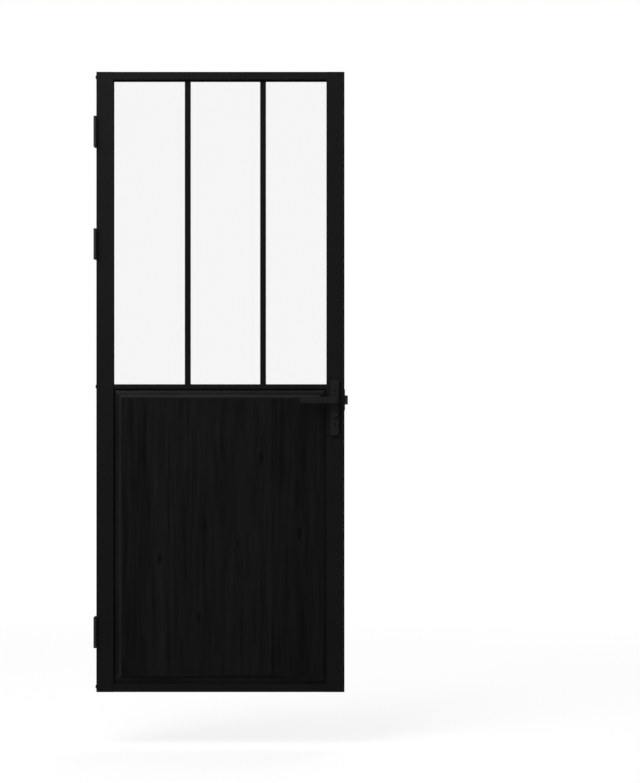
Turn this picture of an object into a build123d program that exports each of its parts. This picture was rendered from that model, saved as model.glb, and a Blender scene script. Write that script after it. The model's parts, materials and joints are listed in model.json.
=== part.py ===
"""Glazed interior door leaf: aluminium stile-and-rail frame, three panes over a raised panel.

Millimetres. +Z is up, the front faces -Y, the hinges stand at -X and the lock at +X.
The origin lies at the bottom edge of the leaf, in the middle of its width and thickness.
"""
import math
import os

from build123d import *

# Leaf
LEAF_W = 812.8
LEAF_H = 2032.0
LEAF_T = 40.0
HINGE_STILE_W = 56.0
LOCK_STILE_W = 59.0
END_RAIL_H = 25.4
MID_RAIL_H = 14.8
MID_RAIL_BOTTOM = 993.8
RAIL_SETBACK = 1.2
MID_RAIL_SETBACK = 3.0
WALL = 2.0
STILE_EDGE_R = 0.8
RAIL_EDGE_R = 0.6
CUT = 1.0

# Glazing groove and glazing bars
GROOVE_W = 12.0
GROOVE_D = 8.0
GLAZING_LIP = 4.8
MID_GROOVE_D = 6.0
BAR_W = 19.0
BAR_T = 16.0
BAR_EDGE_R = 0.8
BAR_GROOVE_D = 7.0
BAR_CENTRES = (298.6, 545.7)
BAR_TONGUE_GAP = 0.5
BAR_TONGUE_SIDE_GAP = 0.2
GLASS_T = 5.0
GASKET_BASE = 1.5

# Raised panel
PANEL_TONGUE_T = 11.6
PANEL_EDGE_GAP = 0.4
PANEL_TONGUE_GAP = 1.5
PANEL_RIM_RAIL = 5.5
PANEL_RIM_STILE = 3.0
PANEL_FIELD_SETBACK = 1.0
PANEL_OUTER_RUN = 7.0
PANEL_OUTER_RISE = 2.8
PANEL_STEP_RUN = 6.5
PANEL_STEP_RISE = 0.9
PANEL_INNER_RUN = 9.5
PANEL_INNER_RISE = 3.8

# Stile end caps
CAP_T = 1.5
CAP_PLUG = 8.0
CAP_GAP = 0.3

# Rail screws
PORT_Y = 12.2
PORT_BOSS_R = 4.8
END_PORT_INSET = 8.4
RAIL_SCREW_R = 2.9
RAIL_SCREW_REACH = 30.0
SCREW_GAP = 0.05
BUTTON_FLANGE_R = 6.5
BUTTON_FLANGE_T = 0.9
BUTTON_HEAD_R = 5.2
BUTTON_HEAD_T = 2.1
BUTTON_EDGE_R = 1.2
RAIL_SINK_R = 6.0
RAIL_SINK_DEPTH = 3.0
SOCKET_R = 2.2
SOCKET_DEPTH = 1.6

# Hinges
HINGE_H = 101.6
BOTTOM_HINGE_RISE = 196.5
MIDDLE_HINGE_DROP = 564.2
TOP_HINGE_DROP = 196.4
HINGE_PLATE_T = 2.5
HINGE_PLATE_REACH = 32.0
PIN_OUT = 3.2
PIN_FRONT = 12.5
BARREL_R = 5.1
PIN_R = 2.5
PIN_FIT = 0.05
KNUCKLES = 5
KNUCKLE_GAP = 0.3
KNUCKLE_CLEAR = 0.3
HINGE_HOLE_R = 2.6
HINGE_HOLE_INSET = 8.5
HINGE_HOLE_PITCH_Y = 15.0
HINGE_HOLE_PITCH_Z = 72.0
HINGE_SINK_R = 4.0
HINGE_SINK_DEPTH = 1.9
HINGE_SCREW_R = 2.0
HINGE_SCREW_LEN = 14.0

# Lock case
BACKSET = 32.0
SPINDLE_Z = 957.0
CYL_DROP = 48.0
CASE_T = 15.0
CASE_WALL = 1.5
CASE_FRONT_WALL = 3.0
CASE_DEPTH = 45.0
CASE_TOP_RISE = 38.0
CASE_BOTTOM_DROP = 77.0
RIVET_R = 1.5
RIVET_INSET = 4.0
RIVET_SPAN_DROP = 4.0
FACEPLATE_H = 69.0
FACEPLATE_W = 23.0
FACEPLATE_T = 1.9
FACEPLATE_R = 2.0
FACEPLATE_SCREW_RISE = 26.3
FACEPLATE_SCREW_R = 1.9
FACEPLATE_SINK_R = 3.4
FACEPLATE_SINK_DEPTH = 1.5
FACEPLATE_SCREW_LEN = 11.0

# Latch
LATCH_H = 30.0
LATCH_W = 11.6
LATCH_OUT = 11.3
LATCH_IN = 11.0
LATCH_NOSE_W = 3.0
LATCH_CHAMFER = 1.0
LATCH_GAP = 0.3
LATCH_TAIL_H = 3.8
LATCH_TAIL_END = 34.5
LATCH_WINDOW_NEAR = 1.4
LATCH_WINDOW_FAR = 8.2
LATCH_WINDOW_W = 8.8
SPRING_R = 2.0
SPRING_WIRE_R = 0.4
SPRING_TURNS = 6
SPRING_DROP = 13.0
SPRING_POST_NEAR = 28.0
SPRING_POST_FAR = 31.0
SPRING_POST_H = 6.0
SPRING_END_GAP = 0.3

# Follower hub
HUB_R = 9.0
HUB_W = 11.4
HUB_COLLAR_R = 7.0
HUB_FIT = 0.06
HUB_FINGER_TIP = 16.0
HUB_FINGER_ROOT = 7.0
HUB_FINGER_W = 4.0
HUB_FINGER_T = 8.0
HUB_FINGER_LEAN = 20.0
SPINDLE_SQ = 8.0
SPINDLE_GAP = 0.05
SPINDLE_LEN = 100.0

# Key cylinder
CYL_R = 8.4
CYL_NOSE = 9.5
CYL_FIN_W = 10.0
CYL_H = 33.0
CYL_FIN_GAP = 0.5
CYL_CUT_GAP = 0.3
CYL_PLATE_GAP = 0.1
CYL_BRIDGE_H = 10.5
CYL_SLOT_W = 10.4
PLUG_R = 6.4
PLUG_FIT = 0.05
PLUG_PROUD = 0.5
KEYWAY_W = 2.2
KEYWAY_UP = 4.5
KEYWAY_DOWN = 5.0
KEYWAY_DEPTH = 16.0
CAM_W = 9.6
CAM_ARM_W = 7.0
CAM_REACH = 12.5
CYL_SCREW_R = 2.4
CYL_SINK_R = 4.4
CYL_SINK_DEPTH = 1.8
CYL_SCREW_RISE = 5.0
CYL_SCREW_PAST = 3.0

# Handles
PLATE_W = 28.0
PLATE_RISE = 67.0
PLATE_DROP = 117.5
PLATE_T = 9.5
PLATE_END_RISE = 4.5
PLATE_CORNER_R = 3.0
PLATE_EDGE_R = 1.2
UPPER_BOLT_RISE = 30.0
LOWER_BOLT_DROP = 33.4
BOLT_R = 2.0
BOLT_HEAD_R = 3.8
BOLT_SINK_DEPTH = 3.6
BOLT_SOCKET_R = 2.1
BOLT_SOCKET_DEPTH = 2.4
BOLT_LEN = 42.0
SLEEVE_R = 3.0
SLEEVE_LEN = 27.0
SLEEVE_FLOOR = 5.0
DRIVE_SLOT_W = 1.0
DRIVE_SLOT_L = 4.6
DRIVE_SLOT_DEPTH = 0.9
BUSH_R = 10.0
BUSH_LEN = 8.5
BUSH_FIT = 0.04
NECK_R = 6.5
NECK_FIT = 0.05
NECK_SEAT = 0.6
LEVER_L = 112.0
LEVER_PAST = 8.6
LEVER_H = 21.0
LEVER_T = 9.0
LEVER_GAP = 36.0
LEVER_EDGE_R = 1.2
LEVER_TIP_R = 4.0
LEVER_HEEL_R = 3.0
LEVER_ELBOW_R = 1.5
GRUB_R = 2.0
GRUB_LEN = 2.2
GRUB_OUT = 7.0
GRUB_GAP = 0.05

LEFT = -LEAF_W / 2
RIGHT = LEAF_W / 2
HALF_T = LEAF_T / 2
RAIL_Y = HALF_T - RAIL_SETBACK
MID_RAIL_Y = HALF_T - MID_RAIL_SETBACK
STILE_L_IN = LEFT + HINGE_STILE_W
STILE_R_IN = RIGHT - LOCK_STILE_W
MID_TOP = MID_RAIL_BOTTOM + MID_RAIL_H
TOP_RAIL_Z = LEAF_H - END_RAIL_H
GLASS_TOP = TOP_RAIL_Z - GLAZING_LIP
PORT_Z = (END_RAIL_H - END_PORT_INSET, MID_RAIL_BOTTOM + MID_RAIL_H / 2, TOP_RAIL_Z + END_PORT_INSET)
HINGE_CENTRES = (BOTTOM_HINGE_RISE, LEAF_H - MIDDLE_HINGE_DROP, LEAF_H - TOP_HINGE_DROP)
SPINDLE_X = RIGHT - BACKSET
CYL_Z = SPINDLE_Z - CYL_DROP
CASE_Y = CASE_T / 2
CASE_FRONT_X = RIGHT - WALL
CASE_BACK_X = CASE_FRONT_X - CASE_DEPTH
CASE_TOP = SPINDLE_Z + CASE_TOP_RISE
CASE_BOTTOM = SPINDLE_Z - CASE_BOTTOM_DROP
PLATE_FACE = HALF_T + PLATE_T
PLATE_TOP = SPINDLE_Z + PLATE_RISE
PLATE_BOTTOM = SPINDLE_Z - PLATE_DROP
BOLT_Z = (SPINDLE_Z + UPPER_BOLT_RISE, CYL_Z - LOWER_BOLT_DROP)
CYL_HALF = PLATE_FACE + CYL_NOSE
CYL_BOTTOM = CYL_Z + CYL_R - CYL_H
LATCH_TOP = SPINDLE_Z + LATCH_H / 2
LATCH_BOTTOM = SPINDLE_Z - LATCH_H / 2


def block(x0, x1, y0, y1, z0, z1):
    """A box between two corners."""
    centre = Pos((x0 + x1) / 2, (y0 + y1) / 2, (z0 + z1) / 2)
    return centre * Box(x1 - x0, y1 - y0, z1 - z0)


def rod_x(x0, x1, y, z, r0, r1=None):
    """A round rod or cone along X, with radius r0 at x0 and r1 at x1."""
    place = Pos((x0 + x1) / 2, y, z) * Rot(0, 90, 0)
    if r1 is None:
        return place * Cylinder(r0, x1 - x0)
    return place * Cone(r0, r1, x1 - x0)


def rod_y(x, y0, y1, z, r0, r1=None):
    """A round rod or cone along Y, with radius r0 at y0 and r1 at y1."""
    place = Pos(x, (y0 + y1) / 2, z) * Rot(-90, 0, 0)
    if r1 is None:
        return place * Cylinder(r0, y1 - y0)
    return place * Cone(r0, r1, y1 - y0)


def hex_y(x, y0, y1, z, r):
    """A six-sided rod along Y; r reaches its corners."""
    face = Plane(origin=(x, y0, z), x_dir=(1, 0, 0), z_dir=(0, 1, 0)) * RegularPolygon(r, 6)
    return extrude(face, y1 - y0)


def rod_z(x, y, z0, z1, r):
    """A round rod along Z."""
    return Pos(x, y, (z0 + z1) / 2) * Cylinder(r, z1 - z0)


def mirrored(shape):
    """The same piece on the back face of the leaf."""
    return mirror(shape, about=Plane.XZ)


def group(solids):
    """Separate identical solids kept together as one node."""
    return Compound(children=[s.solids()[0] for s in solids])


def rail_screw_points():
    """Places of the rail screws: two per rail end."""
    return [(side * PORT_Y, z) for z in PORT_Z for side in (-1, 1)]


def stile_section(x_out, x_in, z0, z1):
    """Hollow stile with a glazing groove along its inner side."""
    inward = 1 if x_in > x_out else -1
    low, high = min(x_out, x_in), max(x_out, x_in)
    body = fillet(block(low, high, -HALF_T, HALF_T, z0, z1).edges().filter_by(Axis.Z), STILE_EDGE_R)
    groove_x = x_in - inward * GROOVE_D
    web_x = groove_x - inward * WALL
    wide = HALF_T - WALL
    hollow = block(low + WALL, high - WALL, -wide, wide, z0 - CUT, z1 + CUT)
    cheek = GROOVE_W / 2 + WALL
    hollow -= block(min(web_x, x_in), max(web_x, x_in), -cheek, cheek, z0 - CUT, z1 + CUT)
    mouth = x_in + inward * CUT
    x0, x1 = min(groove_x, mouth), max(groove_x, mouth)
    groove = block(x0, x1, -GROOVE_W / 2, GROOVE_W / 2, z0 - CUT, z1 + CUT)
    return body - hollow - groove


def hinge_hole_points():
    """Screw places in a hinge plate: two columns, two rows, for each hinge."""
    first = -HALF_T + HINGE_HOLE_INSET
    columns = (first, first + HINGE_HOLE_PITCH_Y)
    rows = (-HINGE_HOLE_PITCH_Z / 2, HINGE_HOLE_PITCH_Z / 2)
    return [(y, centre + dz) for centre in HINGE_CENTRES for y in columns for dz in rows]


def hinge_stile():
    """Stile that carries the hinges, drilled for rail screws and hinge screws."""
    stile = stile_section(LEFT, STILE_L_IN, CAP_T, LEAF_H - CAP_T)
    for y, z in rail_screw_points():
        stile -= rod_x(LEFT - CUT, STILE_L_IN + CUT, y, z, RAIL_SCREW_R + SCREW_GAP)
    for y, z in hinge_hole_points():
        stile -= rod_x(LEFT - CUT, LEFT + WALL + CUT, y, z, HINGE_SCREW_R + SCREW_GAP)
    return stile


def cylinder_profile(y0, y1, gap):
    """Outline of the key cylinder, wider by a gap, used for cut-outs."""
    half = CYL_FIN_W / 2 + gap
    fin = block(SPINDLE_X - half, SPINDLE_X + half, y0, y1, CYL_BOTTOM - gap, CYL_Z)
    return rod_y(SPINDLE_X, y0, y1, CYL_Z, CYL_R + gap) + fin


def latch_window(x0, x1, gap):
    """Opening through which the latch bolt slides."""
    half = LATCH_W / 2 + gap
    return block(x0, x1, -half, half, LATCH_BOTTOM - gap, LATCH_TOP + gap)


def faceplate_screw_heights():
    """Heights of the two faceplate screws."""
    return (SPINDLE_Z - FACEPLATE_SCREW_RISE, SPINDLE_Z + FACEPLATE_SCREW_RISE)


def lock_stile():
    """Stile that holds the lock, cut for the latch, cylinder, spindle and bolts."""
    stile = stile_section(RIGHT, STILE_R_IN, CAP_T, LEAF_H - CAP_T)
    for y, z in rail_screw_points():
        stile -= rod_x(STILE_R_IN - CUT, RIGHT + CUT, y, z, RAIL_SCREW_R + SCREW_GAP)
        stile -= rail_sink(y, z, SCREW_GAP)
    through = HALF_T + CUT
    stile -= cylinder_profile(-through, through, CYL_CUT_GAP)
    stile -= rod_y(SPINDLE_X, -through, through, SPINDLE_Z, HUB_R)
    for z in BOLT_Z:
        stile -= rod_y(SPINDLE_X, -through, through, z, SLEEVE_R + CYL_CUT_GAP)
    stile -= latch_window(CASE_FRONT_X - CUT, RIGHT + CUT, LATCH_GAP)
    for z in faceplate_screw_heights():
        stile -= rod_x(CASE_FRONT_X - CUT, RIGHT + CUT, 0, z, FACEPLATE_SCREW_R + SCREW_GAP)
    stile -= cylinder_screw_shape(SCREW_GAP)
    return stile


def rail_port_bosses(z, bore):
    """Screw ports that run along a rail."""
    radius = RAIL_SCREW_R + SCREW_GAP if bore else PORT_BOSS_R
    end = CUT if bore else 0
    return [rod_x(STILE_L_IN - end, STILE_R_IN + end, side * PORT_Y, z, radius) for side in (-1, 1)]


def soft_rail(half, z0, z1):
    """Outside of a rail of some half thickness, with its long edges eased."""
    body = block(STILE_L_IN, STILE_R_IN, -half, half, z0, z1)
    return fillet(body.edges().filter_by(Axis.X), RAIL_EDGE_R)


def end_rail(z0, z1, top):
    """Hollow top or bottom rail with a groove towards the filling and two screw ports. Under the top rail
    the groove hangs down as a glazing channel."""
    body = soft_rail(RAIL_Y, z0, z1)
    wide = RAIL_Y - WALL
    ends = (STILE_L_IN - CUT, STILE_R_IN + CUT)
    hollow = block(*ends, -wide, wide, z0 + WALL, z1 - WALL)
    cheek = GROOVE_W / 2 + WALL
    half = GROOVE_W / 2
    if top:
        body += block(STILE_L_IN, STILE_R_IN, -cheek, cheek, GLASS_TOP, z0 + WALL)
        hollow -= block(*ends, -cheek, cheek, z0, GLASS_TOP + GROOVE_D + WALL)
        groove = block(*ends, -half, half, GLASS_TOP - CUT, GLASS_TOP + GROOVE_D)
        port_z = PORT_Z[-1]
    else:
        hollow -= block(*ends, -cheek, cheek, z1 - GROOVE_D - WALL, z1)
        groove = block(*ends, -half, half, z1 - GROOVE_D, z1 + CUT)
        port_z = PORT_Z[0]
    for boss in rail_port_bosses(port_z, False):
        hollow -= boss
    rail = body - hollow - groove
    for bore in rail_port_bosses(port_z, True):
        rail -= bore
    return rail


def mid_rail():
    """Narrow middle rail: grooves above and below a web, with two screw ports."""
    rail = soft_rail(MID_RAIL_Y, MID_RAIL_BOTTOM, MID_TOP)
    half = GROOVE_W / 2
    ends = (STILE_L_IN - CUT, STILE_R_IN + CUT)
    rail -= block(*ends, -half, half, MID_TOP - MID_GROOVE_D, MID_TOP + CUT)
    rail -= block(*ends, -half, half, MID_RAIL_BOTTOM - CUT, MID_RAIL_BOTTOM + MID_GROOVE_D)
    for bore in rail_port_bosses(PORT_Z[1], True):
        rail -= bore
    return rail


def glazing_bar(centre):
    """H-section bar; its web runs on as a tongue into the rails' grooves."""
    x0, x1 = centre - BAR_W / 2, centre + BAR_W / 2
    half = GROOVE_W / 2
    bar = block(x0, x1, -BAR_T / 2, BAR_T / 2, MID_TOP, GLASS_TOP)
    bar = fillet(bar.edges().filter_by(Axis.Z), BAR_EDGE_R)
    web0, web1 = x0 + BAR_GROOVE_D, x1 - BAR_GROOVE_D
    bar -= block(x0 - CUT, web0, -half, half, MID_TOP - CUT, GLASS_TOP + CUT)
    bar -= block(web1, x1 + CUT, -half, half, MID_TOP - CUT, GLASS_TOP + CUT)
    tongue = half - BAR_TONGUE_SIDE_GAP
    low = MID_TOP - MID_GROOVE_D + BAR_TONGUE_GAP
    high = GLASS_TOP + GROOVE_D - BAR_TONGUE_GAP
    return bar + block(web0, web1, -tongue, tongue, low, high)


def bar_positions():
    """X of each glazing bar."""
    return [LEFT + centre for centre in BAR_CENTRES]


def pane_openings():
    """Left edge, right edge and groove depths of each pane opening."""
    bars = bar_positions()
    edges = [STILE_L_IN]
    for x in bars:
        edges += [x - BAR_W / 2, x + BAR_W / 2]
    edges.append(STILE_R_IN)
    depths = [GROOVE_D] + [BAR_GROOVE_D] * (2 * len(bars)) + [GROOVE_D]
    pairs = range(0, len(edges), 2)
    return [(edges[i], edges[i + 1], depths[i], depths[i + 1]) for i in pairs]


def pane(x0, x1, left_d, right_d):
    """Glass pane, held back from the groove floors by the gasket."""
    half = GLASS_T / 2
    low = MID_TOP - MID_GROOVE_D + GASKET_BASE
    high = GLASS_TOP + GROOVE_D - GASKET_BASE
    return block(x0 - left_d + GASKET_BASE, x1 + right_d - GASKET_BASE, -half, half, low, high)


def gasket(x0, x1, left_d, right_d):
    """U-gasket round one pane, flush with the edges of the opening."""
    half = GROOVE_W / 2
    ring = block(x0 - left_d, x1 + right_d, -half, half, MID_TOP - MID_GROOVE_D, GLASS_TOP + GROOVE_D)
    ring -= block(x0, x1, -half - CUT, half + CUT, MID_TOP, GLASS_TOP)
    return ring - pane(x0, x1, left_d, right_d)


def panel_rectangle(y, inset_x, inset_z):
    """Rectangle of the panel face at one depth, held in from the opening."""
    x0, x1 = STILE_L_IN + inset_x, STILE_R_IN - inset_x
    z0, z1 = END_RAIL_H + inset_z, MID_RAIL_BOTTOM - inset_z
    plane = Plane(origin=((x0 + x1) / 2, y, (z0 + z1) / 2), x_dir=(1, 0, 0), z_dir=(0, -1, 0))
    return plane * Rectangle(x1 - x0, z1 - z0)


def panel_bevel(y0, y1, inset, run):
    """One sloping course of the raised panel."""
    low = panel_rectangle(y0, PANEL_RIM_STILE + inset, PANEL_RIM_RAIL + inset)
    high = panel_rectangle(y1, PANEL_RIM_STILE + inset + run, PANEL_RIM_RAIL + inset + run)
    return loft([low, high], ruled=True)


def raised_panel():
    """Panel fielded on both faces, with a tongue in the frame's grooves."""
    field = RAIL_Y - PANEL_FIELD_SETBACK
    step = field - PANEL_INNER_RISE
    step_foot = step - PANEL_STEP_RISE
    rim = step_foot - PANEL_OUTER_RISE
    gap = PANEL_EDGE_GAP
    x0, x1 = STILE_L_IN + gap, STILE_R_IN - gap
    z0, z1 = END_RAIL_H + gap, MID_RAIL_BOTTOM - gap
    panel = block(x0, x1, -rim, rim, z0, z1)
    tongue = PANEL_TONGUE_T / 2
    reach = GROOVE_D - PANEL_TONGUE_GAP
    mid_reach = MID_GROOVE_D - PANEL_TONGUE_GAP
    panel += block(
        STILE_L_IN - reach,
        STILE_R_IN + reach,
        -tongue,
        tongue,
        END_RAIL_H - reach,
        MID_RAIL_BOTTOM + mid_reach,
    )
    front = panel_bevel(-rim, -step_foot, 0, PANEL_OUTER_RUN)
    front += panel_bevel(-step_foot, -step, PANEL_OUTER_RUN, PANEL_STEP_RUN)
    front += panel_bevel(-step, -field, PANEL_OUTER_RUN + PANEL_STEP_RUN, PANEL_INNER_RUN)
    return panel + front + mirrored(front)


def end_cap(x_out, x_in, z_face, up):
    """Plastic cap: a plate over the stile's end and a plug in its hollow."""
    low, high = min(x_out, x_in), max(x_out, x_in)
    inward = 1 if x_in > x_out else -1
    inner = z_face - up * CAP_T
    plug_end = inner - up * CAP_PLUG
    plate = block(low, high, -HALF_T, HALF_T, min(z_face, inner), max(z_face, inner))
    plate = fillet(plate.edges().filter_by(Axis.Z), STILE_EDGE_R)
    out = x_out + inward * (WALL + CAP_GAP)
    root = x_in - inward * (GROOVE_D + WALL + CAP_GAP)
    wide = HALF_T - WALL - CAP_GAP
    plug = block(min(out, root), max(out, root), -wide, wide, min(inner, plug_end), max(inner, plug_end))
    return plate + plug


def end_caps(x_out, x_in):
    """Caps at the top and the bottom of one stile."""
    return group([end_cap(x_out, x_in, LEAF_H, 1), end_cap(x_out, x_in, 0, -1)])


def button_screws():
    """Flanged button-head screws through the hinge stile into the rails."""
    screws = []
    for y, z in rail_screw_points():
        head_x = LEFT - BUTTON_FLANGE_T - BUTTON_HEAD_T
        head = rod_x(head_x, LEFT - BUTTON_FLANGE_T, y, z, BUTTON_HEAD_R)
        crown = head.edges().sort_by(Axis.X)[0]
        head = fillet(crown, BUTTON_EDGE_R)
        head += rod_x(LEFT - BUTTON_FLANGE_T, LEFT, y, z, BUTTON_FLANGE_R)
        shank = rod_x(LEFT, STILE_L_IN + RAIL_SCREW_REACH, y, z, RAIL_SCREW_R)
        screws.append(head + shank - rod_x(head_x - CUT, head_x + SOCKET_DEPTH, y, z, SOCKET_R))
    return group(screws)


def rail_sink(y, z, gap):
    """Countersunk head of a rail screw on the lock edge."""
    return rod_x(RIGHT - RAIL_SINK_DEPTH, RIGHT, y, z, RAIL_SCREW_R + gap, RAIL_SINK_R + gap)


def sunk_screws():
    """Countersunk screws through the lock stile into the rails."""
    screws = []
    for y, z in rail_screw_points():
        screw = rail_sink(y, z, 0)
        screw += rod_x(STILE_R_IN - RAIL_SCREW_REACH, RIGHT - RAIL_SINK_DEPTH, y, z, RAIL_SCREW_R)
        screws.append(screw - rod_x(RIGHT - SOCKET_DEPTH, RIGHT + CUT, y, z, SOCKET_R))
    return group(screws)


def pin_axis():
    """X and Y of the hinge pins."""
    return LEFT - PIN_OUT, -HALF_T - PIN_FRONT


def knuckle_spans(centre):
    """Lower and upper end of each knuckle of one hinge."""
    length = (HINGE_H - KNUCKLE_GAP * (KNUCKLES - 1)) / KNUCKLES
    bottom = centre - HINGE_H / 2
    starts = [bottom + i * (length + KNUCKLE_GAP) for i in range(KNUCKLES)]
    return [(start, start + length) for start in starts]


def hinge_leaf(centre, side, first_knuckle):
    """Hinge leaf with every other knuckle; side is 1 on the door and -1 on the jamb."""
    x, y = pin_axis()
    far = x + side * PIN_OUT
    near = far - side * HINGE_PLATE_T
    low, high = min(far, near), max(far, near)
    back = -HALF_T + HINGE_PLATE_REACH
    leaf = block(low, high, -HALF_T, back, centre - HINGE_H / 2, centre + HINGE_H / 2)
    for z0, z1 in knuckle_spans(centre)[first_knuckle::2]:
        leaf += block(low, high, y, -HALF_T, z0, z1) + rod_z(x, y, z0, z1, BARREL_R)
    leaf -= rod_z(x, y, centre - HINGE_H, centre + HINGE_H, PIN_R + PIN_FIT)
    others = knuckle_spans(centre)[1 - first_knuckle::2]
    for z0, z1 in others:
        leaf -= rod_z(x, y, z0 - KNUCKLE_GAP, z1 + KNUCKLE_GAP, BARREL_R + KNUCKLE_CLEAR)
    hole_r = HINGE_SCREW_R + SCREW_GAP if side > 0 else HINGE_HOLE_R
    for hole_y, hole_z in hinge_hole_points():
        if abs(hole_z - centre) < HINGE_H:
            leaf -= rod_x(low - CUT, high + CUT, hole_y, hole_z, hole_r)
            inner = near + side * HINGE_SINK_DEPTH
            radii = (HINGE_SINK_R, hole_r) if side > 0 else (hole_r, HINGE_SINK_R)
            leaf -= rod_x(min(near, inner), max(near, inner), hole_y, hole_z, *radii)
    return leaf


def hinge_pin(centre):
    """Pin with flush ends."""
    x, y = pin_axis()
    return rod_z(x, y, centre - HINGE_H / 2, centre + HINGE_H / 2, PIN_R)


def hinge_screws():
    """Countersunk screws that hold the door leaves on the hinge stile."""
    screws = []
    for y, z in hinge_hole_points():
        head_x = LEFT - HINGE_PLATE_T
        neck_x = head_x + HINGE_SINK_DEPTH
        screw = rod_x(head_x, neck_x, y, z, HINGE_SINK_R - SCREW_GAP, HINGE_SCREW_R)
        screw += rod_x(neck_x, head_x + HINGE_SCREW_LEN, y, z, HINGE_SCREW_R)
        slot_x = head_x + DRIVE_SLOT_DEPTH
        half_w, half_l = DRIVE_SLOT_W / 2, DRIVE_SLOT_L / 2
        screw -= block(head_x - CUT, slot_x, y - half_w, y + half_w, z - half_l, z + half_l)
        screw -= block(head_x - CUT, slot_x, y - half_l, y + half_l, z - half_w, z + half_w)
        screws.append(screw)
    return group(screws)


def rivet_points():
    """Places of the case rivets."""
    back = CASE_BACK_X + RIVET_INSET
    front = CASE_FRONT_X - CASE_FRONT_WALL - RIVET_INSET
    low = CASE_BOTTOM + RIVET_SPAN_DROP
    return [(back, CASE_TOP - RIVET_SPAN_DROP), (back, low), (front, low)]


def case_through_holes():
    """Everything that passes through the case from face to face."""
    through = CASE_Y + CUT
    cuts = [cylinder_profile(-through, through, CYL_CUT_GAP)]
    cuts.append(rod_y(SPINDLE_X, -through, through, SPINDLE_Z, HUB_COLLAR_R + HUB_FIT))
    cuts.append(rod_y(SPINDLE_X, -through, through, BOLT_Z[0], SLEEVE_R + CYL_CUT_GAP))
    for x, z in rivet_points():
        cuts.append(rod_y(x, -through, through, z, RIVET_R + SCREW_GAP))
    return cuts


def lock_case():
    """Case with a floor, walls, a thick front wall and a post for the latch spring."""
    inner_y = CASE_Y - CASE_WALL
    case = block(CASE_BACK_X, CASE_FRONT_X, -inner_y, CASE_Y, CASE_BOTTOM, CASE_TOP)
    case -= block(
        CASE_BACK_X + CASE_WALL,
        CASE_FRONT_X - CASE_FRONT_WALL,
        -inner_y - CUT,
        inner_y,
        CASE_BOTTOM + CASE_WALL,
        CASE_TOP - CASE_WALL,
    )
    post_z = SPINDLE_Z - SPRING_DROP
    case += block(
        RIGHT - SPRING_POST_FAR,
        RIGHT - SPRING_POST_NEAR,
        -inner_y,
        inner_y,
        post_z - SPRING_POST_H / 2,
        post_z + SPRING_POST_H / 2,
    )
    for cut in case_through_holes():
        case -= cut
    front = CASE_FRONT_X - CASE_FRONT_WALL
    case -= latch_window(front - CUT, CASE_FRONT_X + CUT, LATCH_GAP)
    for z in faceplate_screw_heights():
        case -= rod_x(front - CUT, CASE_FRONT_X + CUT, 0, z, FACEPLATE_SCREW_R + SCREW_GAP)
    return case - cylinder_screw_shape(SCREW_GAP)


def lock_cover():
    """Flat cover of the case."""
    cover = block(CASE_BACK_X, CASE_FRONT_X, -CASE_Y, -CASE_Y + CASE_WALL, CASE_BOTTOM, CASE_TOP)
    for cut in case_through_holes():
        cover -= cut
    return cover


def case_rivets():
    """Rivets that hold the cover on the case."""
    return group([rod_y(x, -CASE_Y, CASE_Y, z, RIVET_R) for x, z in rivet_points()])


def latch_faceplate():
    """Plate on the edge of the leaf, proud of it, with the latch window."""
    half_h, half_w = FACEPLATE_H / 2, FACEPLATE_W / 2
    plate = block(RIGHT, RIGHT + FACEPLATE_T, -half_w, half_w, SPINDLE_Z - half_h, SPINDLE_Z + half_h)
    plate = fillet(plate.edges().filter_by(Axis.X), FACEPLATE_R)
    plate -= latch_window(RIGHT - CUT, RIGHT + FACEPLATE_T + CUT, LATCH_GAP)
    for z in faceplate_screw_heights():
        plate -= rod_x(RIGHT - CUT, RIGHT + FACEPLATE_T + CUT, 0, z, FACEPLATE_SCREW_R + SCREW_GAP)
        plate -= faceplate_sink(z, SCREW_GAP)
    return plate


def faceplate_sink(z, gap):
    """Countersunk head of a faceplate screw."""
    face = RIGHT + FACEPLATE_T
    return rod_x(face - FACEPLATE_SINK_DEPTH, face, 0, z, FACEPLATE_SCREW_R + gap, FACEPLATE_SINK_R + gap)


def faceplate_screws():
    """Screws through the faceplate and the stile into the case."""
    face = RIGHT + FACEPLATE_T
    neck = face - FACEPLATE_SINK_DEPTH
    screws = []
    for z in faceplate_screw_heights():
        screw = faceplate_sink(z, 0) + rod_x(face - FACEPLATE_SCREW_LEN, neck, 0, z, FACEPLATE_SCREW_R)
        slot_x = face - DRIVE_SLOT_DEPTH
        half_w, half_l = DRIVE_SLOT_W / 2, DRIVE_SLOT_L / 2
        screw -= block(slot_x, face + CUT, -half_w, half_w, z - half_l, z + half_l)
        screw -= block(slot_x, face + CUT, -half_l, half_l, z - half_w, z + half_w)
        screws.append(screw)
    return group(screws)


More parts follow.
